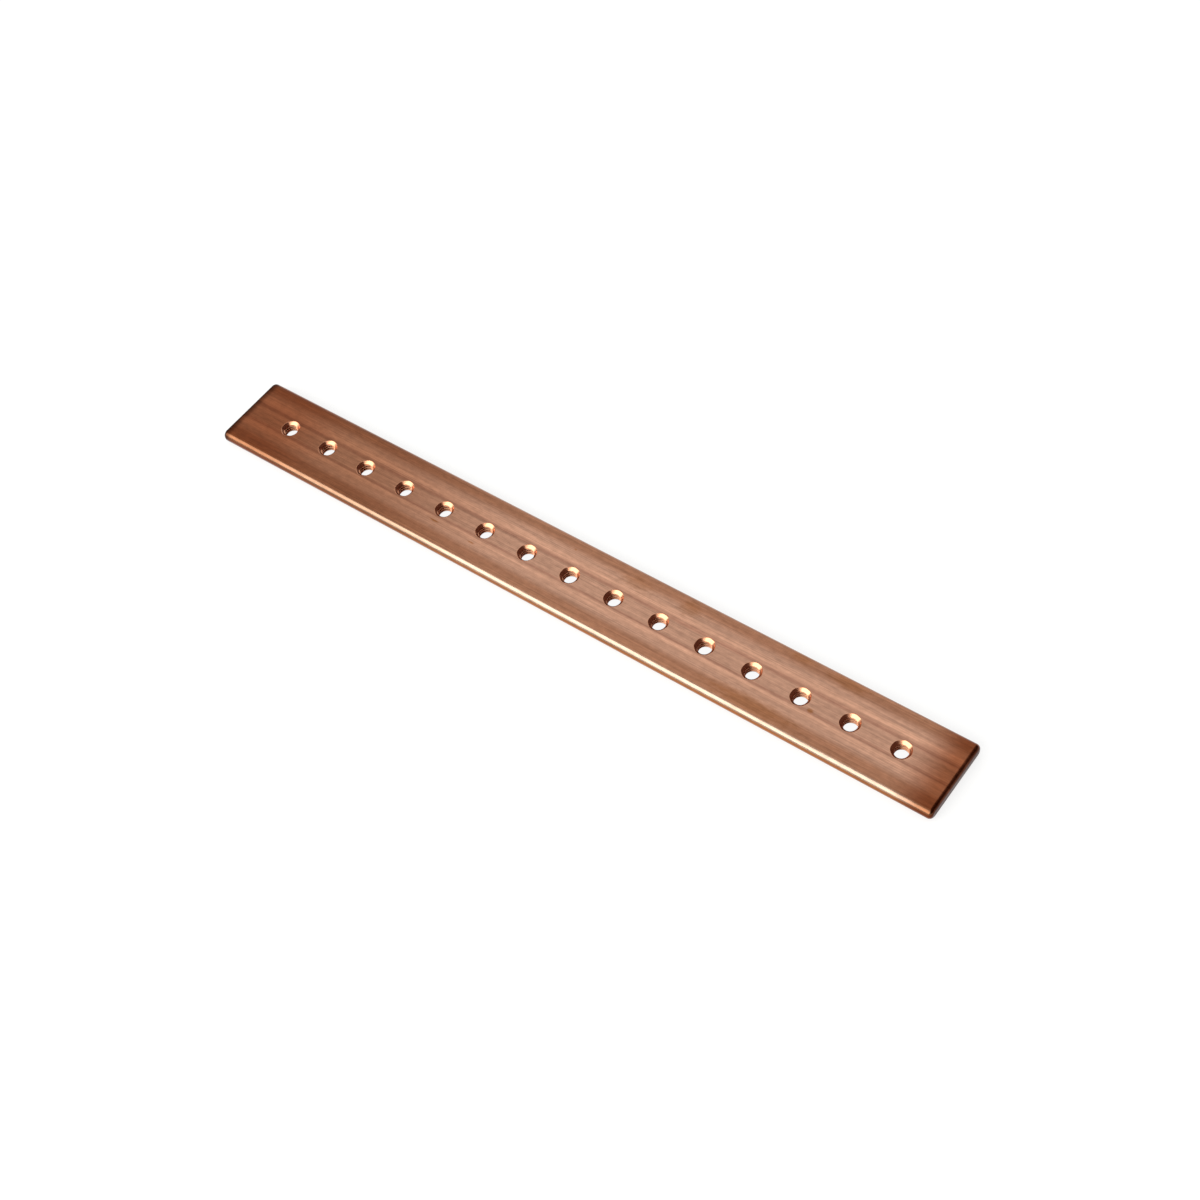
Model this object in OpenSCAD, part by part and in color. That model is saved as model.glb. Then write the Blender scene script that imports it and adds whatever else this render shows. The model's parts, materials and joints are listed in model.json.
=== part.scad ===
// Earthing bar for an equipment rack: one length of drawn copper flat with round long edges,
// cut to length, its ends and corners eased, and one row of tapped holes along the middle.
// X runs along the bar, Y across it and Z up through its thickness.
// The origin is the middle of the underside.

/* [Bar] */
// Length that the bar is cut to
bar_length = 300; // [280:1:600]
// Width of the copper flat
bar_width = 30; // [16:0.5:80]
// Thickness of the copper flat
bar_thickness = 5; // [5:0.1:12]

/* [Edges] */
// Radius drawn along the four long edges, nearly half of the thickness
edge_radius = 2.4; // [0.5:0.1:2.4]
// Radius that eases the top and bottom edges of the cut ends
end_radius = 1.5; // [0.3:0.1:2.4]
// Radius of the four corners, seen from above
corner_radius = 1.8; // [0.5:0.1:6]

/* [Tapped holes] */
// Number of tapped holes in the row
hole_count = 15; // [1:1:15]
// Distance from one hole to the next
hole_pitch = 18.5; // [9:0.5:20]
// How far the middle of the row lies from the middle of the bar, towards +X
row_offset = 1; // [-4:0.5:4]
// Bore inside the crests of the thread, for an M6 screw
bore_diameter = 4.9; // [3.3:0.1:6.5]
// Diameter of the countersink's rim on both faces
countersink_diameter = 7; // [6.6:0.1:8.5]
// Included angle of the countersinks
countersink_angle = 90; // [82:1:120]

/* [Hidden] */
$fn = 96;
// How far a cutter reaches past the face that it opens
overrun = 1;
// From the first hole of the row to the last
row_span = (hole_count - 1) * hole_pitch;
// Where the first hole lies along X
row_start = row_offset - row_span / 2;
// Radius that a countersink gains for each millimetre of its depth
countersink_slope = tan(countersink_angle / 2);
countersink_depth = (countersink_diameter - bore_diameter) / 2 / countersink_slope;

// Rectangle with round corners, centred on the origin.
module rounded_rectangle(width, height, radius) {
    square([width - 2 * radius, height], center = true);
    square([width, height - 2 * radius], center = true);
    for (x = [-1, 1], y = [-1, 1]) {
        translate([x * (width / 2 - radius), y * (height / 2 - radius)])
            circle(r = radius);
    }
}

// The drawn section, run along the bar.
module drawn_flat() {
    rotate([90, 0, 90])
        linear_extrude(bar_length, center = true)
            rounded_rectangle(bar_width, bar_thickness, edge_radius);
}

// The bar seen from its side, with the eased ends, run across the bar.
module eased_ends() {
    rotate([90, 0, 0])
        linear_extrude(bar_width, center = true)
            rounded_rectangle(bar_length, bar_thickness, end_radius);
}

// The bar seen from above, with its round corners, run through the thickness.
module eased_corners() {
    linear_extrude(bar_thickness, center = true)
        rounded_rectangle(bar_length, bar_width, corner_radius);
}

// The undrilled bar, standing on the origin's plane: what the three outlines have in common.
module blank() {
    translate([0, 0, bar_thickness / 2]) intersection() {
        drawn_flat();
        eased_ends();
        eased_corners();
    }
}

// Cone that opens a hole's mouth at the plane z = 0, from below.
module countersink_cutter() {
    translate([0, 0, -countersink_depth])
        cylinder(
            h = countersink_depth + overrun,
            r1 = bore_diameter / 2,
            r2 = countersink_diameter / 2 + overrun * countersink_slope
        );
}

// One tapped hole: the bore through the bar, and a countersink on each face.
module tapped_hole_cutter() {
    translate([0, 0, -overrun])
        cylinder(h = bar_thickness + 2 * overrun, d = bore_diameter);
    translate([0, 0, bar_thickness])
        countersink_cutter();
    mirror([0, 0, 1])
        countersink_cutter();
}

module busbar() {
    color("#a8704f") difference() {
        blank();
        for (i = [0 : hole_count - 1]) {
            translate([row_start + i * hole_pitch, 0, 0])
                tapped_hole_cutter();
        }
    }
}

busbar();
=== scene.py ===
"""Dressed model of an earthing bar for an equipment rack.

One length of drawn copper flat, with round long edges, eased ends and a row of
countersunk and tapped holes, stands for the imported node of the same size. It
lies on a pale studio floor under soft light.
"""

import json
import logging
import math
from dataclasses import dataclass
from enum import Enum, IntEnum

import bmesh
import bpy
from mathutils import Matrix, Vector


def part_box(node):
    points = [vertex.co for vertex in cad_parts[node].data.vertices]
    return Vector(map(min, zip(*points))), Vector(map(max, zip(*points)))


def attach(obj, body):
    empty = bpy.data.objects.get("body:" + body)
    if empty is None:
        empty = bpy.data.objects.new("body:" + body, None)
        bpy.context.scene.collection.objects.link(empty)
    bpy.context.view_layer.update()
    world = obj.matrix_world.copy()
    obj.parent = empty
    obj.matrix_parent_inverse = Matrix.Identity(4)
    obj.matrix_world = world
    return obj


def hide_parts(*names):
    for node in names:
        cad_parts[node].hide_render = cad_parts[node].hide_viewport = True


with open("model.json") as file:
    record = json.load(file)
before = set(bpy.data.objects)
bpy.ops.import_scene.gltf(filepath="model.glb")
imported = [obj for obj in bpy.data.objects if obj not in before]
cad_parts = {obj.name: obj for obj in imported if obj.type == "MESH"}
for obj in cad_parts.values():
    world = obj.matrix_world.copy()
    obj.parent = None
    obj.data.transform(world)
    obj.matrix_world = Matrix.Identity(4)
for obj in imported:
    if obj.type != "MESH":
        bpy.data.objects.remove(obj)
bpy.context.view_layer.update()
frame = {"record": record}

log = logging.getLogger("earthing_bar")

MM = 0.001


class Slot(Enum):
    """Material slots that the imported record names."""

    COPPER = "copper"


class Skin(IntEnum):
    """Which of the bar's two finishes a face wears, as its material index."""

    DRAWN = 0
    CUT = 1


# ---------------------------------------------------------------- materials


class PatinaAndHighlight(Enum):
    """Tones that bare copper takes under the die and under use, and a pale painted highlight for the near
    rounded edge.
    """

    POLISH_HIGHLIGHT = "#a89180"
    CLEAN = "#ba8e76"
    RUBBED = "#cc9b80"
    LINED = "#aa7c66"
    DULL = "#a47358"


class WearAndShade(Enum):
    """Tints that the tones are multiplied with towards the ends: partly tarnish from handling, partly
    painted shade, darkest as painted shade on the rounded end rims.
    """

    NONE = "#ffffff"
    HANDLED_AND_SHADED = "#d4c0b0"
    BROWNED = "#c09a80"
    RIM_SHADE = "#70503c"


def linear(colour: str) -> tuple[float, float, float, float]:
    """Turn an sRGB hex colour into the linear colour that shaders take.

    Args:
        colour: Colour as "#rrggbb".

    Returns:
        Linear red, green and blue, and an alpha of 1.
    """
    shares = [int(colour[i : i + 2], 16) / 255 for i in (1, 3, 5)]
    red, green, blue = (c / 12.92 if c <= 0.04045 else ((c + 0.055) / 1.055) ** 2.4 for c in shares)
    return red, green, blue, 1.0


def add_node(tree: bpy.types.NodeTree, kind: str, inputs: dict | None = None, **settings) -> bpy.types.Node:
    """Add one node to a tree with its settings, values and links.

    Args:
        tree: Node tree that takes the node.
        kind: Blender's type name of the node.
        inputs: Input name or index to a value, or to the output socket that feeds it.
        **settings: Properties of the node itself.

    Returns:
        The new node.
    """
    node = tree.nodes.new(kind)
    for name, value in settings.items():
        setattr(node, name, value)
    for key, value in (inputs or {}).items():
        if isinstance(value, bpy.types.NodeSocket):
            tree.links.new(value, node.inputs[key])
        else:
            node.inputs[key].default_value = value
    return node


def empty_material(name: str) -> bpy.types.Material:
    """Make a node material with no nodes in it.

    Args:
        name: Name of the material.

    Returns:
        The material, with nodes on and none of them made.
    """
    material = bpy.data.materials.new(name)
    material.use_nodes = True
    material.node_tree.nodes.clear()
    return material


@dataclass(frozen=True)
class Tone:
    """Place on the bar where a finish, a painted highlight or a painted shade is at its fullest.

    Attributes:
        at: Distance from the middle of the bar in millimetres.
        finish: The finish there, which for some tones is painted highlight or painted shade.
    """

    at: float
    finish: PatinaAndHighlight | WearAndShade


@dataclass(frozen=True)
class Stain:
    """Soft patch of tarnish on the contact face.

    Attributes:
        centre: Place along and across the bar, in millimetres.
        reach: Half length and half width of the patch, in millimetres.
        strength: Share of tarnish in its middle.
    """

    centre: tuple[float, float]
    reach: tuple[float, float]
    strength: float


@dataclass(frozen=True)
class DrawnCopper:
    """Electrolytic copper flat, cold drawn and left bare.

    The die leaves straight lines along the bar, so the shine spreads across
    it. Handling has left patches of brown tarnish; the ends are darker, partly from handling and partly
    painted shade.

    Attributes:
        across: Tones from the near edge to the far edge, as the die left them, with a painted highlight on
            the near rounded edge.
        along: Tones that the ones across are multiplied with, from end to end: darker towards the ends,
            partly tarnish and partly painted shade.
        side: Colour of the two long sides, a darker orange-brown that is partly their own film and partly
            painted shade for the shaded floor they mirror.
        side_shade_height: How far from the middle of the thickness that colour and its painted shade reach,
            in millimetres.
        tarnish: Colour of the tarnish patches.
        stains: The patches.
        hairline_shades: Darkest and lightest factor that the finest lines give the colour.
        line_shades: The same for the plain lines.
        grain_shades: The same for the mottling.
        roughness: Roughness of the clean metal.
        roughness_spread: How far the plain lines move it up and down.
        edge_roughness: Roughness of the long edges, which the die polished.
        polish: Width of a polished edge in millimetres.
        polish_fade: Width over which the polish comes in, in millimetres.
        anisotropy: How much more the shine spreads across the die lines than along them.
        hairline: Width of the finest die lines in millimetres, drawn as coarse as shows.
        line: Width of the plain die lines in millimetres.
        line_length: Length over which a die line fades out, in millimetres.
        grain: Size of the fine mottling in millimetres.
    """

    across: tuple[Tone, ...] = (
        # Pale tone on the near rounded edge: painted highlight over the polished edge.
        Tone(-15.0, PatinaAndHighlight.POLISH_HIGHLIGHT),
        Tone(-13.9, PatinaAndHighlight.POLISH_HIGHLIGHT),
        Tone(-13.3, PatinaAndHighlight.DULL),
        Tone(-10.5, PatinaAndHighlight.DULL),
        Tone(-7.5, PatinaAndHighlight.CLEAN),
        Tone(-4.5, PatinaAndHighlight.RUBBED),
        Tone(-3.6, PatinaAndHighlight.LINED),
        Tone(-2.5, PatinaAndHighlight.CLEAN),
        Tone(2.5, PatinaAndHighlight.CLEAN),
        Tone(3.5, PatinaAndHighlight.LINED),
        Tone(5.5, PatinaAndHighlight.RUBBED),
        Tone(8.0, PatinaAndHighlight.CLEAN),
        Tone(11.5, PatinaAndHighlight.DULL),
        Tone(15.0, PatinaAndHighlight.DULL),
    )
    along: tuple[Tone, ...] = (
        # Darker towards both ends: partly tarnish, partly painted shade; the rounded end rims get the
        # darkest painted shade.
        Tone(-150.0, WearAndShade.RIM_SHADE),
        Tone(-148.5, WearAndShade.RIM_SHADE),
        Tone(-146.0, WearAndShade.BROWNED),
        Tone(-135.0, WearAndShade.BROWNED),
        Tone(-100.0, WearAndShade.HANDLED_AND_SHADED),
        Tone(-10.0, WearAndShade.NONE),
        Tone(132.0, WearAndShade.NONE),
        Tone(147.0, WearAndShade.BROWNED),
        Tone(149.0, WearAndShade.BROWNED),
        Tone(150.0, WearAndShade.RIM_SHADE),
    )
    side: str = "#a86636"
    side_shade_height: float = 1.0
    tarnish: str = "#9a6136"
    stains: tuple[Stain, ...] = (
        Stain((99.0, -2.9), (1.1, 0.9), 0.75),
        Stain((-54.5, -5.7), (2.2, 0.4), 0.85),
        Stain((-37.0, -6.6), (1.6, 0.4), 0.75),
        Stain((-3.8, 9.8), (0.7, 0.4), 0.6),
        Stain((23.0, 9.2), (7.0, 2.6), 0.35),
        Stain((44.0, 9.6), (4.0, 3.0), 0.4),
        Stain((86.0, 12.6), (5.0, 2.0), 0.4),
        Stain((104.0, 12.0), (8.0, 2.4), 0.45),
        Stain((82.0, -10.8), (18.0, 2.8), 0.45),
    )
    hairline_shades: tuple[float, float] = (0.80, 1.18)
    line_shades: tuple[float, float] = (0.88, 1.10)
    grain_shades: tuple[float, float] = (0.86, 1.12)
    roughness: float = 0.34
    roughness_spread: float = 0.06
    edge_roughness: float = 0.2
    polish: float = 2.2
    polish_fade: float = 0.6
    anisotropy: float = 0.5
    hairline: float = 0.24
    line: float = 1.1
    line_length: float = 70.0
    grain: float = 1.2

    def material(self) -> bpy.types.Material:
        """Build the material of the drawn faces.

        Returns:
            The material.
        """
        material = empty_material("drawn_bare_copper")
        tree = material.node_tree
        place = add_node(tree, "ShaderNodeTexCoord").outputs["Object"]
        parts = add_node(tree, "ShaderNodeSeparateXYZ", {0: place})
        fine = self._lines(tree, place, self.hairline, self.line_length * 0.5, 3.0)
        plain = self._lines(tree, place, self.line, self.line_length, 2.0)
        grain = self._lines(tree, place, self.grain, self.grain * 2.5, 4.0)
        colour = self._tones(tree, parts.outputs["Y"], self.across)
        # Long sides: darker orange-brown, partly painted shade for the shaded floor they mirror.
        colour = self._mix(tree, "MIX", self._side_shade_share(tree, parts), colour, linear(self.side))
        # Multiplies in the darker ends, which are partly painted shade.
        colour = self._mix(tree, "MULTIPLY", 1.0, colour, self._tones(tree, parts.outputs["X"], self.along))
        colour = self._mix(tree, "MIX", self._stain_share(tree, parts, grain), colour, linear(self.tarnish))
        colour = self._streaked(tree, colour, fine, self.hairline_shades)
        colour = self._streaked(tree, colour, plain, self.line_shades)
        colour = self._streaked(tree, colour, grain, self.grain_shades)
        rough = add_node(tree, "ShaderNodeMapRange",
            {"Value": plain, "To Min": self.roughness - self.roughness_spread,
            "To Max": self.roughness + self.roughness_spread})
        rough = add_node(tree, "ShaderNodeMapRange",
            {"Value": self._polish_share(tree, parts), "To Min": rough.outputs[0],
            "To Max": self.edge_roughness})
        bump = add_node(tree, "ShaderNodeBump", {"Height": fine, "Strength": 0.15, "Distance": 0.02 * MM})
        bump = add_node(tree, "ShaderNodeBump",
            {"Height": plain, "Strength": 0.2, "Distance": 0.05 * MM, "Normal": bump.outputs[0]})
        tangent = add_node(tree, "ShaderNodeTangent", direction_type="RADIAL", axis="X")
        shader = add_node(tree, "ShaderNodeBsdfPrincipled", {
            "Base Color": colour, "Metallic": 1.0, "Roughness": rough.outputs[0],
            "Anisotropic": self.anisotropy,
            "Normal": bump.outputs[0], "Tangent": tangent.outputs[0]})
        add_node(tree, "ShaderNodeOutputMaterial", {"Surface": shader.outputs[0]})
        return material

    def _lines(self, tree: bpy.types.NodeTree, place: bpy.types.NodeSocket, width: float, length: float,
               detail: float) -> bpy.types.NodeSocket:
        """Noise drawn out along the bar.

        Args:
            tree: Node tree of the material.
            place: Socket with the place on the bar in metres.
            width: Width of one line in millimetres.
            length: Length of one line in millimetres.
            detail: Octaves of finer lines.

        Returns:
            Socket with a value around 0.5.
        """
        across = 1 / (width * MM)
        scaled = add_node(tree, "ShaderNodeMapping",
            {"Vector": place, "Scale": (1 / (length * MM), across, across)})
        noise = add_node(tree, "ShaderNodeTexNoise",
            {"Vector": scaled.outputs[0], "Scale": 1.0, "Detail": detail, "Roughness": 0.6})
        return noise.outputs["Fac"]

    def _tones(self, tree: bpy.types.NodeTree, distance: bpy.types.NodeSocket,
            tones: tuple[Tone, ...]) -> bpy.types.NodeSocket:
        """Colour that runs through tones with a distance.

        Args:
            tree: Node tree of the material.
            distance: Socket with the distance from the middle in metres.
            tones: The tones, in order.

        Returns:
            Socket with the colour.
        """
        low, high = tones[0].at, tones[-1].at
        share = add_node(tree, "ShaderNodeMapRange",
            {"Value": distance, "From Min": low * MM, "From Max": high * MM})
        ramp = add_node(tree, "ShaderNodeValToRGB", {"Fac": share.outputs[0]})
        ramp.color_ramp.interpolation = "EASE"
        stops = ramp.color_ramp.elements
        while len(stops) < len(tones):
            stops.new(0.5)
        for stop, tone in zip(stops, tones):
            stop.position = (tone.at - low) / (high - low)
            stop.color = linear(tone.finish.value)
        return ramp.outputs[0]

    def _mix(self, tree: bpy.types.NodeTree, blend: str, share: float | bpy.types.NodeSocket,
            first: bpy.types.NodeSocket,
             second: bpy.types.NodeSocket | tuple) -> bpy.types.NodeSocket:
        """Blend two colours.

        Args:
            tree: Node tree of the material.
            blend: Blender's name of the blend.
            share: Share of the second colour.
            first: First colour.
            second: Second colour.

        Returns:
            Socket with the result.
        """
        mix = add_node(tree, "ShaderNodeMix", {0: share, 6: first, 7: second}, data_type="RGBA",
            blend_type=blend)
        return mix.outputs[2]

    def _streaked(self, tree: bpy.types.NodeTree, colour: bpy.types.NodeSocket, noise: bpy.types.NodeSocket,
                  shades: tuple[float, float]) -> bpy.types.NodeSocket:
        """Lighten and darken a colour along a noise.

        Args:
            tree: Node tree of the material.
            colour: Colour to change.
            noise: Noise around 0.5.
            shades: Factor where the noise is low, and where it is high.

        Returns:
            Socket with the changed colour.
        """
        factor = add_node(tree, "ShaderNodeMapRange", {
            "Value": noise, "From Min": 0.3, "From Max": 0.7, "To Min": shades[0], "To Max": shades[1]})
        scaled = add_node(tree, "ShaderNodeVectorMath", {0: colour, "Scale": factor.outputs[0]},
            operation="SCALE")
        return scaled.outputs[0]

    def _polish_share(self, tree: bpy.types.NodeTree, parts: bpy.types.Node) -> bpy.types.NodeSocket:
        """Share of the die's polish, full on the long edges.

        Args:
            tree: Node tree of the material.
            parts: Node whose outputs are the place along, across and up.

        Returns:
            Socket with the share, from 0 to 1.
        """
        low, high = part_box("busbar")
        offset = add_node(tree, "ShaderNodeMath", {0: parts.outputs["Y"], 1: (low.y + high.y) / 2},
            operation="SUBTRACT")
        away = add_node(tree, "ShaderNodeMath", {0: offset.outputs[0]}, operation="ABSOLUTE")
        inner = (high.y - low.y) / 2 - self.polish * MM
        share = add_node(tree, "ShaderNodeMapRange", {
            "Value": away.outputs[0], "From Min": inner, "From Max": inner + self.polish_fade * MM})
        return share.outputs[0]

    def _side_shade_share(self, tree: bpy.types.NodeTree, parts: bpy.types.Node) -> bpy.types.NodeSocket:
        """Share of the sides' colour, which is partly painted shade, full at the middle of the thickness.

        Args:
            tree: Node tree of the material.
            parts: Node whose outputs are the place along, across and up.

        Returns:
            Socket with the share, from 0 to 1.
        """
        low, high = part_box("busbar")
        rise = add_node(tree, "ShaderNodeMath", {0: parts.outputs["Z"], 1: (low.z + high.z) / 2},
            operation="SUBTRACT")
        away = add_node(tree, "ShaderNodeMath", {0: rise.outputs[0]}, operation="ABSOLUTE")
        share = add_node(tree, "ShaderNodeMapRange", {
            "Value": away.outputs[0], "From Min": (self.side_shade_height - 0.2) * MM,
            "From Max": (self.side_shade_height + 0.3) * MM,
            "To Min": 1.0, "To Max": 0.0})
        return share.outputs[0]

    def _stain_share(self, tree: bpy.types.NodeTree, parts: bpy.types.Node,
            grain: bpy.types.NodeSocket) -> bpy.types.NodeSocket:
        """Share of tarnish over the contact face.

        Args:
            tree: Node tree of the material.
            parts: Node whose outputs are the place along, across and up.
            grain: Noise that ruffles the rims of the patches.

        Returns:
            Socket with the share, from 0 to 1.
        """
        flat = add_node(tree, "ShaderNodeCombineXYZ", {"X": parts.outputs["X"], "Y": parts.outputs["Y"]})
        ruffle = add_node(tree, "ShaderNodeMapRange",
            {"Value": grain, "From Min": 0.3, "From Max": 0.7, "To Min": -0.3, "To Max": 0.3})
        total = 0.0
        for stain in self.stains:
            (x, y), (length, width) = stain.centre, stain.reach
            local = add_node(tree, "ShaderNodeMapping", {
                "Vector": flat.outputs[0], "Location": (-x / length, -y / width, 0),
                "Scale": (1000 / length, 1000 / width, 1)})
            reach = add_node(tree, "ShaderNodeVectorMath", {0: local.outputs[0]}, operation="LENGTH")
            rim = add_node(tree, "ShaderNodeMath", {0: reach.outputs["Value"], 1: ruffle.outputs[0]},
                operation="ADD")
            share = add_node(tree, "ShaderNodeMapRange", {
                "Value": rim.outputs[0], "From Min": 0.35, "From Max": 1.3, "To Min": stain.strength,
                "To Max": 0.0},
                interpolation_type="SMOOTHSTEP")
            total = add_node(tree, "ShaderNodeMath", {0: total, 1: share.outputs[0]},
                operation="MAXIMUM").outputs[0]
        return total


@dataclass(frozen=True)
class CutCopper:
    """Bare copper as the countersink and the tap cut it.

    It is brighter and smoother than the drawn face, with fine rings round the
    holes where the tool's edge dragged.

    Attributes:
        colour: Colour of freshly cut copper.
        shade: Colour of the rings.
        roughness: Roughness of the cut.
        ring: Distance from one ring to the next in millimetres, drawn as coarse as shows.
    """

    colour: str = "#e0a684"
    shade: str = "#c98a67"
    roughness: float = 0.24
    ring: float = 0.18

    def material(self) -> bpy.types.Material:
        """Build the material of the holes.

        Returns:
            The material.
        """
        material = empty_material("cut_bare_copper")
        tree = material.node_tree
        place = add_node(tree, "ShaderNodeTexCoord").outputs["Object"]
        stretched = add_node(tree, "ShaderNodeMapping",
            {"Vector": place, "Scale": (500.0, 500.0, 1 / (self.ring * MM))})
        rings = add_node(tree, "ShaderNodeTexNoise",
            {"Vector": stretched.outputs[0], "Scale": 1.0, "Detail": 2.0})
        tint = add_node(tree, "ShaderNodeMix",
            {0: rings.outputs["Fac"], 6: linear(self.colour), 7: linear(self.shade)}, data_type="RGBA")
        bump = add_node(tree, "ShaderNodeBump",
            {"Height": rings.outputs["Fac"], "Strength": 0.3, "Distance": 0.02 * MM})
        shader = add_node(tree, "ShaderNodeBsdfPrincipled", {
            "Base Color": tint.outputs[2], "Metallic": 1.0, "Roughness": self.roughness,
            "Normal": bump.outputs[0]})
        add_node(tree, "ShaderNodeOutputMaterial", {"Surface": shader.outputs[0]})
        return material


# ---------------------------------------------------------------- the bar


def mesh_object(bm: bmesh.types.BMesh, name: str) -> bpy.types.Object:
    """Turn a bmesh into an object at the origin.

    Args:
        bm: The shape, which is freed.
        name: Name of the object.

    Returns:
        The object, linked to the scene.
    """
    mesh = bpy.data.meshes.new(name)
    bm.to_mesh(mesh)
    bm.free()
    piece = bpy.data.objects.new(name, mesh)
    bpy.context.scene.collection.objects.link(piece)
    return piece


@dataclass
class TappedHole:
    """Through hole with an M6 coarse thread and a countersink on both faces.

    Sizes are in metres. The hole's middle is the origin of its cutters.

    Attributes:
        bore: Diameter inside the thread's crests.
        depth: Thickness that the hole goes through.
        major: Diameter over the thread's roots.
        lead: Rise of the thread for one turn.
        countersink: Diameter of the countersink's rim.
        rim_round: Height over which the rim is rounded off.
        chatter: Share of its radius by which the countersink waves in and out.
        lobes: Waves in one turn, where the countersink chattered.
        steps: Faces round the hole.
    """

    bore: float
    depth: float
    major: float = 6.0 * MM
    lead: float = 1.0 * MM
    countersink: float = 7.0 * MM
    rim_round: float = 0.1 * MM
    chatter: float = 0.012
    lobes: int = 7
    steps: int = 72

    def thread_cutter(self) -> bmesh.types.BMesh:
        """Build the screw-shaped solid that the tap takes away.

        Returns:
            A closed shape that reaches past both faces.
        """
        crest, root = self.bore / 2, self.major / 2
        flank = (root - crest) * math.tan(math.radians(30))
        flat = self.lead / 8
        reach = self.depth / 2 + self.lead / 2
        turns = math.ceil(2 * reach / self.lead) + 2
        bm = bmesh.new()
        last = None
        for turn in range(turns + 1):
            base = (turn - turns / 2 - 0.5) * self.lead
            for radius, rise in ((crest, 0.0), (root, flank), (root, flank + flat),
                (crest, 2 * flank + flat)):
                point = bm.verts.new((radius, 0.0, base + rise))
                if last is not None:
                    bm.edges.new((last, point))
                last = point
        bmesh.ops.spin(bm, geom=bm.verts[:] + bm.edges[:], cent=(0, 0, 0), axis=(0, 0, 1),
            dvec=(0, 0, self.lead / self.steps),
                       angle=math.tau, steps=self.steps, use_merge=False, use_duplicate=False)
        bmesh.ops.remove_doubles(bm, verts=bm.verts[:], dist=0.001 * MM)
        for side in (-1, 1):
            cut = bmesh.ops.bisect_plane(bm, geom=bm.verts[:] + bm.edges[:] + bm.faces[:], dist=0.0001 * MM,
                plane_co=(0, 0, side * reach),
                                         plane_no=(0, 0, side), clear_outer=True, clear_inner=False)
            rim = [e for e in cut["geom_cut"] if isinstance(e, bmesh.types.BMEdge)]
            bmesh.ops.contextual_create(bm, geom=rim)
        bmesh.ops.recalc_face_normals(bm, faces=bm.faces[:])
        return bm

    def countersink_cutter(self) -> bmesh.types.BMesh:
        """Build the two cones that the countersink takes away.

        Returns:
            One closed cone for each face, tip to tip and apart.
        """
        rim, face = self.countersink / 2, self.depth / 2
        tip = rim - self.bore / 2 + 0.3 * MM
        low = self.rim_round
        bm = bmesh.new()
        profile = [(0.0, face - tip), (rim - tip, face - tip), (rim - low, face - low),
            (rim - 0.25 * low, face - 0.4 * low),
                   (rim + 0.9 * low, face + 0.1 * low), (rim + 0.9 * low, face + 1.0 * MM),
                   (0.0, face + 1.0 * MM)]
        points = [bm.verts.new((r, 0.0, z)) for r, z in profile]
        for first, second in zip(points, points[1:]):
            bm.edges.new((first, second))
        bmesh.ops.spin(bm, geom=bm.verts[:] + bm.edges[:], cent=(0, 0, 0), axis=(0, 0, 1), angle=math.tau,
            steps=self.steps,
                       use_merge=True, use_duplicate=False)
        bmesh.ops.remove_doubles(bm, verts=bm.verts[:], dist=0.001 * MM)
        for vert in bm.verts:
            wave = 1 + self.chatter * math.cos(self.lobes * math.atan2(vert.co.y, vert.co.x))
            vert.co.x *= wave
            vert.co.y *= wave
        bmesh.ops.mirror(bm, geom=bm.verts[:] + bm.edges[:] + bm.faces[:], matrix=Matrix.Identity(4),
            merge_dist=-1.0, axis="Z")
        bmesh.ops.recalc_face_normals(bm, faces=bm.faces[:])
        return bm


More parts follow.
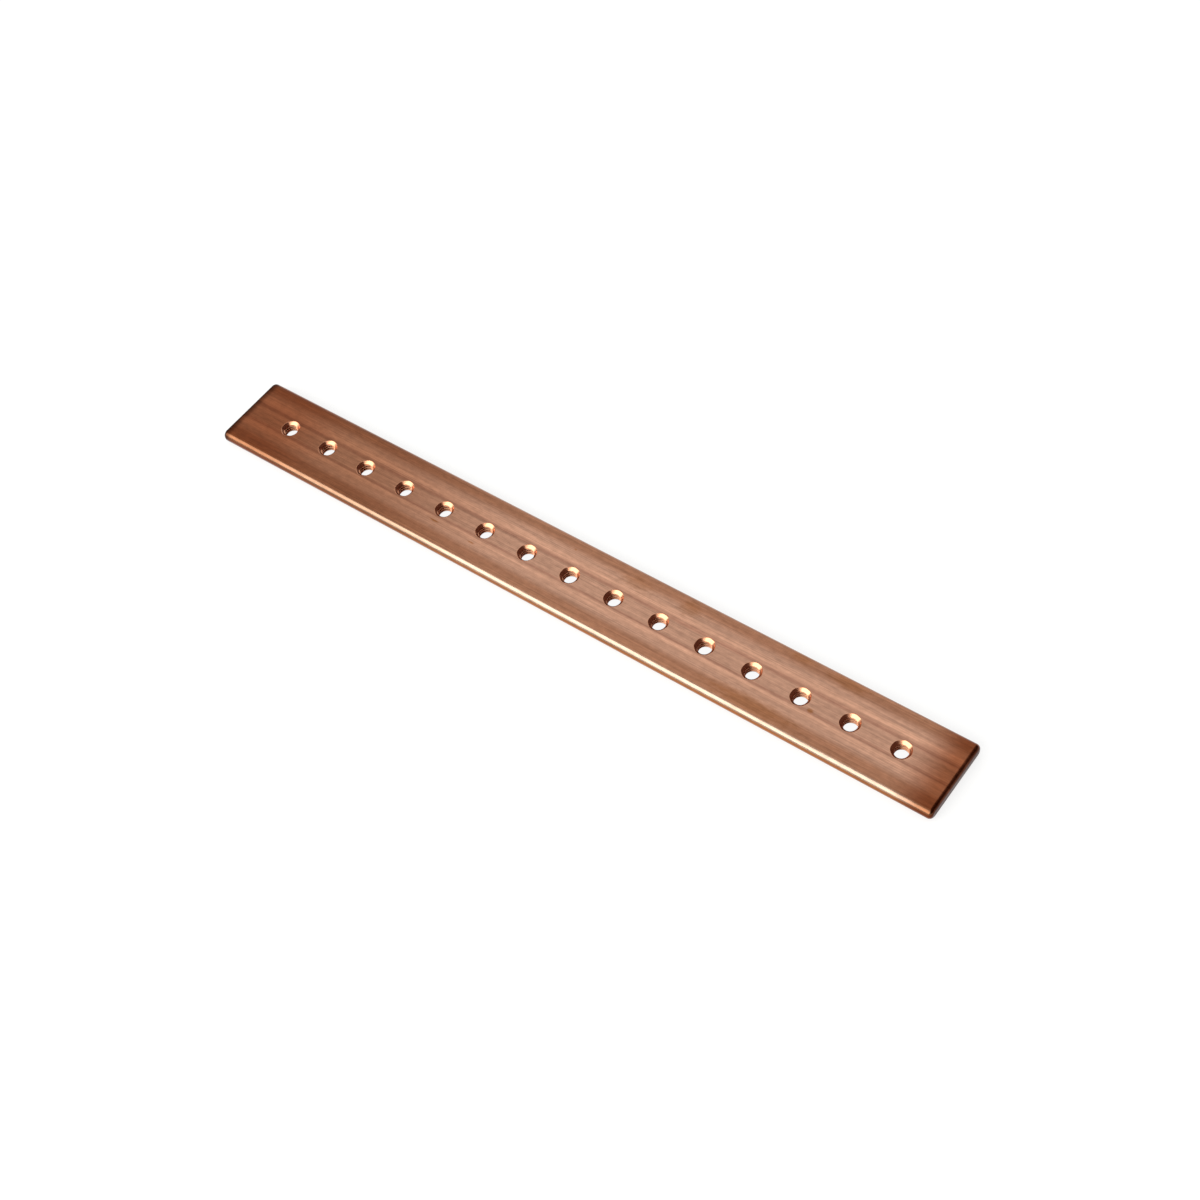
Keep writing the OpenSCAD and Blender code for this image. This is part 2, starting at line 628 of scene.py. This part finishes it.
@dataclass
class CopperBar:
    """The whole earthing bar: one piece of copper flat with its row of holes.

    Sizes are in metres.

    Attributes:
        low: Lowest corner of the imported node's box.
        high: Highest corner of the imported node's box.
        holes: Middles of the holes.
        hole: The hole that is cut at each of them.
        edge_radius: Radius drawn along the four long edges.
        end_radius: Radius that eases the rims of the cut ends.
        edge_segments: Faces across a long edge's rounding.
        end_segments: Faces across an end's rounding.
        crease: Angle in degrees from which an edge stays sharp.
    """

    low: Vector
    high: Vector
    holes: list[Vector]
    hole: TappedHole
    edge_radius: float = 2.4 * MM
    end_radius: float = 1.6 * MM
    edge_segments: int = 16
    end_segments: int = 10
    crease: float = 28.0

    @classmethod
    def from_frame(cls, node: str, record: dict) -> "CopperBar":
        """Take the bar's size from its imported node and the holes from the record.

        Args:
            node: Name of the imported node.
            record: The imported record.

        Returns:
            The bar.
        """
        low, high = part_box(node)
        tapped = [m for m in record["mounts"] if m["kind"] == "threaded_hole"]
        hole = TappedHole(bore=2 * tapped[0]["dims"]["r_mm"] * MM, depth=high.z - low.z)
        return cls(low=low, high=high, holes=[Vector(m["pos_m"]) for m in tapped], hole=hole)

    def blank(self) -> bpy.types.Object:
        """Build the bar before it is drilled, long edges first and then the ends.

        Returns:
            The blank, closed all round.
        """
        size = self.high - self.low
        bm = bmesh.new()
        bmesh.ops.create_cube(bm, size=1.0)
        bmesh.ops.scale(bm, vec=size, verts=bm.verts)
        bmesh.ops.translate(bm, vec=(self.low + self.high) / 2, verts=bm.verts)
        long_edges = [e for e in bm.edges if abs((e.verts[0].co - e.verts[1].co).x) > size.x / 2]
        bmesh.ops.bevel(bm, geom=long_edges, offset=self.edge_radius, offset_type="OFFSET", affect="EDGES",
                        segments=self.edge_segments, profile=0.5, material=-1, clamp_overlap=False)
        rims = [e for e in bm.edges if any(abs(f.normal.x) > 0.99 for f in e.link_faces)]
        bmesh.ops.bevel(bm, geom=rims, offset=self.end_radius, offset_type="OFFSET", affect="EDGES",
                        segments=self.end_segments, profile=0.5, material=-1, clamp_overlap=False)
        bmesh.ops.recalc_face_normals(bm, faces=bm.faces[:])
        return mesh_object(bm, "copper_bar")

    def row_of(self, cutter: bmesh.types.BMesh, name: str) -> bpy.types.Object:
        """Repeat a cutter at every hole of the row.

        Args:
            cutter: Shape round the origin, which is freed.
            name: Name of the object that holds the copies.

        Returns:
            One object with a copy at each hole.
        """
        single = bpy.data.meshes.new(name)
        cutter.to_mesh(single)
        cutter.free()
        row = bmesh.new()
        for middle in self.holes:
            before = len(row.verts)
            row.from_mesh(single)
            row.verts.ensure_lookup_table()
            bmesh.ops.translate(row, vec=middle, verts=row.verts[before:])
        bpy.data.meshes.remove(single)
        for face in row.faces:
            face.material_index = Skin.CUT
        return mesh_object(row, name)

    def drill(self, blank: bpy.types.Object, finishes: list[bpy.types.Material]) -> None:
        """Cut the countersinks and then the threads out of the blank.

        Args:
            blank: The bar before it is drilled.
            finishes: Materials in the order of Skin.
        """
        cutters = [self.row_of(self.hole.countersink_cutter(), "countersinks"),
            self.row_of(self.hole.thread_cutter(), "threads")]
        for piece in (blank, *cutters):
            for finish in finishes:
                piece.data.materials.append(finish)
        for cutter in cutters:
            cut = blank.modifiers.new(cutter.name, "BOOLEAN")
            cut.operation = "DIFFERENCE"
            cut.solver = "EXACT"
            cut.material_mode = "INDEX"
            cut.object = cutter
        self._settle(blank)
        for cutter in cutters:
            bpy.data.objects.remove(cutter)

    def shade(self, piece: bpy.types.Object) -> None:
        """Shade the roundings smooth, keep the crests and rims sharp and the flats flat.

        Args:
            piece: The drilled bar.
        """
        bm = bmesh.new()
        bm.from_mesh(piece.data)
        bmesh.ops.remove_doubles(bm, verts=bm.verts[:], dist=0.0005 * MM)
        for face in bm.faces:
            face.smooth = True
        for edge in bm.edges:
            edge.smooth = edge.calc_face_angle(0.0) < math.radians(self.crease)
        bm.to_mesh(piece.data)
        bm.free()
        even = piece.modifiers.new("even_normals", "WEIGHTED_NORMAL")
        even.keep_sharp = True
        even.weight = 80
        self._settle(piece)

    def _settle(self, piece: bpy.types.Object) -> None:
        """Replace a piece's mesh with what its modifiers make of it."""
        graph = bpy.context.evaluated_depsgraph_get()
        mesh = bpy.data.meshes.new_from_object(piece.evaluated_get(graph), preserve_all_data_layers=True,
            depsgraph=graph)
        piece.modifiers.clear()
        old, piece.data = piece.data, mesh
        bpy.data.meshes.remove(old)
        mesh.name = piece.name

    def build(self, node: str) -> bpy.types.Object:
        """Make the bar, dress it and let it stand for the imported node.

        Args:
            node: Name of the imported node.

        Returns:
            The finished piece.
        """
        piece = self.blank()
        self.drill(piece, [DrawnCopper().material(), CutCopper().material()])
        self.shade(piece)
        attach(piece, "root")
        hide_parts(node)
        log.info("%s: %d faces, %d holes", piece.name, len(piece.data.polygons), len(self.holes))
        return piece


# ---------------------------------------------------------------- the studio


@dataclass
class StudioFloor:
    """White painted board that the bar lies on.

    Attributes:
        low: Lowest corner of the bar.
        high: Highest corner of the bar.
        size: Side of the board in metres.
        colour: Colour of the paint.
        glow: Share of the board that shows plain white, the rest takes light and shadow.
        painted_glow_below: That share under the bar, which shows through the holes: painted light that
            hides the bar's shadow there.
    """

    low: Vector
    high: Vector
    size: float = 6.0
    colour: str = "#f4f4f2"
    glow: float = 0.72
    painted_glow_below: float = 0.93

    def build(self) -> bpy.types.Object:
        """Lay the board just under the bar.

        Returns:
            The board.
        """
        bm = bmesh.new()
        bmesh.ops.create_grid(bm, x_segments=1, y_segments=1, size=self.size / 2)
        bmesh.ops.translate(bm, vec=(0, 0, self.low.z - 0.02 * MM), verts=bm.verts)
        board = mesh_object(bm, "studio_floor")
        board.data.materials.append(self.material())
        log.info("%s: %.1f m board", board.name, self.size)
        return board

    def material(self) -> bpy.types.Material:
        """Build the matt white paint, which the camera and the metal see as near white.

        From below the board is clear, so that the bar's underside shows.

        Returns:
            The material.
        """
        material = empty_material("matt_white_paint")
        tree = material.node_tree
        paint = add_node(tree, "ShaderNodeBsdfDiffuse", {"Color": linear(self.colour)})
        white = add_node(tree, "ShaderNodeEmission", {"Color": (1.0, 1.0, 1.0, 1.0), "Strength": 1.0})
        below = self._below(tree)
        ray = add_node(tree, "ShaderNodeLightPath")
        # Painted light: under the bar the board glows near white to the camera, hiding the bar's shadow
        # seen through the holes.
        seen = add_node(tree, "ShaderNodeMapRange",
            {"Value": below, "To Min": self.glow, "To Max": self.painted_glow_below})
        seen = add_node(tree, "ShaderNodeMath", {0: seen.outputs[0], 1: ray.outputs["Is Camera Ray"]},
            operation="MULTIPLY")
        mirrored = add_node(tree, "ShaderNodeMath",
            {0: ray.outputs["Is Glossy Ray"], 1: ray.outputs["Is Transmission Ray"]}, operation="MAXIMUM")
        clear = add_node(tree, "ShaderNodeMapRange", {"Value": below, "To Min": self.glow, "To Max": 0.0})
        mirrored = add_node(tree, "ShaderNodeMath", {0: mirrored.outputs[0], 1: clear.outputs[0]},
            operation="MULTIPLY")
        share = add_node(tree, "ShaderNodeMath", {0: seen.outputs[0], 1: mirrored.outputs[0]},
            operation="MAXIMUM")
        passed = add_node(tree, "ShaderNodeMath", {0: ray.outputs["Transparent Depth"], 1: self.glow},
            operation="MINIMUM")
        share = add_node(tree, "ShaderNodeMath", {0: share.outputs[0], 1: passed.outputs[0]},
            operation="MAXIMUM")
        mix = add_node(tree, "ShaderNodeMixShader",
            {0: share.outputs[0], 1: paint.outputs[0], 2: white.outputs[0]})
        behind = add_node(tree, "ShaderNodeNewGeometry").outputs["Backfacing"]
        window = add_node(tree, "ShaderNodeBsdfTransparent")
        mix = add_node(tree, "ShaderNodeMixShader", {0: behind, 1: mix.outputs[0], 2: window.outputs[0]})
        add_node(tree, "ShaderNodeOutputMaterial", {"Surface": mix.outputs[0]})
        return material

    def _below(self, tree: bpy.types.NodeTree) -> bpy.types.NodeSocket:
        """Mark the part of the board that the bar covers.

        Args:
            tree: Node tree of the material.

        Returns:
            Socket that is 1 under the bar and 0 beside it.
        """
        place = add_node(tree, "ShaderNodeTexCoord").outputs["Object"]
        middle, half = (self.low + self.high) / 2, (self.high - self.low) / 2
        offset = add_node(tree, "ShaderNodeVectorMath", {0: place, 1: middle}, operation="SUBTRACT")
        away = add_node(tree, "ShaderNodeVectorMath", {0: offset.outputs[0]}, operation="ABSOLUTE")
        past = add_node(tree, "ShaderNodeVectorMath", {0: away.outputs[0], 1: half}, operation="SUBTRACT")
        sides = add_node(tree, "ShaderNodeSeparateXYZ", {0: past.outputs[0]})
        furthest = add_node(tree, "ShaderNodeMath", {0: sides.outputs["X"], 1: sides.outputs["Y"]},
            operation="MAXIMUM")
        share = add_node(tree, "ShaderNodeMapRange", {
            "Value": furthest.outputs[0], "From Min": -3 * MM, "From Max": -1 * MM, "To Min": 1.0,
            "To Max": 0.0})
        return share.outputs[0]


@dataclass(frozen=True)
class Flag:
    """Dark brown cloth by the tent, which only the metal mirrors.

    It takes no light from the floor or the background.

    Attributes:
        azimuth: Direction of its middle from the bar, in degrees from +X towards +Y.
        elevation: Height of its middle above the floor, in degrees.
        reach: Angle from its middle within which it is fully dark, in degrees.
        fade: Further angle over which the tent's cloth takes over, in degrees.
        depth: How dark it is, from 0 to 1.
    """

    azimuth: float
    elevation: float
    reach: float
    fade: float
    depth: float

    def way(self) -> tuple[float, float, float]:
        """Direction of its middle as a unit vector."""
        turn, rise = math.radians(self.azimuth), math.radians(self.elevation)
        return math.cos(turn) * math.cos(rise), math.sin(turn) * math.cos(rise), math.sin(rise)


@dataclass
class LightTent:
    """Pale cloth tent round the table, with dark flags that show in the metal only.

    Attributes:
        cloth: Colour of the lit cloth.
        dark: Colour of a flag.
        strength: Brightness of the cloth.
        flags: The flags.
    """

    cloth: str = "#ffffff"
    dark: str = "#55352d"
    strength: float = 1.0
    flags: tuple[Flag, ...] = (
        Flag(azimuth=20.0, elevation=20.0, reach=57.0, fade=5.0, depth=1.0),
        Flag(azimuth=163.0, elevation=4.0, reach=14.0, fade=30.0, depth=0.85),
        Flag(azimuth=80.0, elevation=0.0, reach=16.0, fade=14.0, depth=0.85),
    )

    def build(self) -> None:
        """Set the scene's world to the tent."""
        world = bpy.data.worlds.new("light_tent")
        bpy.context.scene.world = world
        world.use_nodes = True
        tree = world.node_tree
        tree.nodes.clear()
        way = add_node(tree, "ShaderNodeTexCoord").outputs["Generated"]
        ray = add_node(tree, "ShaderNodeLightPath").outputs["Is Glossy Ray"]
        tint = linear(self.cloth)
        for flag in self.flags:
            near = add_node(tree, "ShaderNodeVectorMath", {0: way, 1: flag.way()}, operation="DOT_PRODUCT")
            share = add_node(tree, "ShaderNodeMapRange", {
                "Value": near.outputs["Value"], "From Min": math.cos(math.radians(flag.reach + flag.fade)),
                "From Max": math.cos(math.radians(flag.reach)),
                "To Max": flag.depth}, interpolation_type="SMOOTHSTEP")
            share = add_node(tree, "ShaderNodeMath", {0: share.outputs[0], 1: ray}, operation="MULTIPLY")
            tint = add_node(tree, "ShaderNodeMix", {0: share.outputs[0], 6: tint, 7: linear(self.dark)},
                data_type="RGBA").outputs[2]
        sky = add_node(tree, "ShaderNodeBackground", {"Color": tint, "Strength": self.strength})
        add_node(tree, "ShaderNodeOutputWorld", {"Surface": sky.outputs[0]})
        log.info("%s: strength %.2f, %d flags", world.name, self.strength, len(self.flags))


@dataclass
class Softbox:
    """Rectangular soft lamp that faces the bar.

    Attributes:
        name: Name of the lamp.
        azimuth: Direction from the bar, in degrees from +X towards +Y.
        height: Height of the lamp's middle in metres.
        distance: Distance from the bar over the floor in metres.
        size: Width and height of the lamp in metres.
        brightness: How many times brighter than white its front looks.
        colour: Colour of the light.
    """

    name: str
    azimuth: float
    height: float
    distance: float
    size: tuple[float, float]
    brightness: float
    colour: str = "#fffaf4"

    def build(self) -> bpy.types.Object:
        """Stand the lamp in its place and turn it to the bar.

        Returns:
            The lamp.
        """
        width, height = self.size
        lamp = bpy.data.lights.new(self.name, "AREA")
        lamp.shape = "RECTANGLE"
        lamp.size, lamp.size_y = width, height
        lamp.color = linear(self.colour)[:3]
        lamp.energy = self.brightness * math.pi * width * height
        stand = bpy.data.objects.new(self.name, lamp)
        bpy.context.scene.collection.objects.link(stand)
        turn = math.radians(self.azimuth)
        stand.location = (self.distance * math.cos(turn), self.distance * math.sin(turn), self.height)
        stand.rotation_mode = "QUATERNION"
        stand.rotation_quaternion = (-stand.location).to_track_quat("-Z", "Y")
        log.info("%s: %.2f x %.2f m", stand.name, width, height)
        return stand


@dataclass
class TableCamera:
    """Camera that looks down on the bar from its near right.

    Attributes:
        azimuth: Turn round the bar in radians, 0 in front of its long side.
        elevation: Angle above the floor in radians.
        distance: Distance to the aim in metres.
        aim: Point that it looks at.
        roll: Turn round the line of sight in radians.
        lens: Focal length in millimetres, on a sensor 36 mm wide.
    """

    azimuth: float = 0.8116
    elevation: float = 0.9228
    distance: float = 0.65156
    aim: tuple[float, float, float] = (0.01331, -0.00034, 0.0)
    roll: float = -0.2128
    lens: float = 58.2

    def build(self) -> bpy.types.Object:
        """Make the camera and hand it to the scene.

        Returns:
            The camera.
        """
        back = Vector((math.sin(self.azimuth) * math.cos(self.elevation),
            -math.cos(self.azimuth) * math.cos(self.elevation),
                       math.sin(self.elevation)))
        level = Vector((0, 0, 1)).cross(back).normalized()
        upright = back.cross(level)
        side = level * math.cos(self.roll) + upright * math.sin(self.roll)
        up = back.cross(side)
        optics = bpy.data.cameras.new("table_camera")
        optics.sensor_width = 36.0
        optics.lens = self.lens
        optics.clip_start, optics.clip_end = 0.01, 20.0
        camera = bpy.data.objects.new("table_camera", optics)
        bpy.context.scene.collection.objects.link(camera)
        turn = Matrix((side, up, back)).transposed().to_4x4()
        camera.matrix_world = Matrix.Translation(Vector(self.aim) + back * self.distance) @ turn
        bpy.context.scene.camera = camera
        log.info("%s: %.1f mm lens", camera.name, self.lens)
        return camera


def main() -> None:
    """Build the camera, the bar and the studio, in that order."""
    logging.basicConfig(level=logging.INFO, format="%(name)s: %(message)s")
    TableCamera().build()
    CopperBar.from_frame("busbar", frame["record"]).build("busbar")
    StudioFloor(*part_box("busbar")).build()
    LightTent().build()
    Softbox("front_softbox", azimuth=-105.0, height=0.5, distance=0.9, size=(1.9, 0.8),
        brightness=3.2).build()
    bpy.context.scene.view_settings.view_transform = "Standard"


if __name__ == "__main__":
    main()
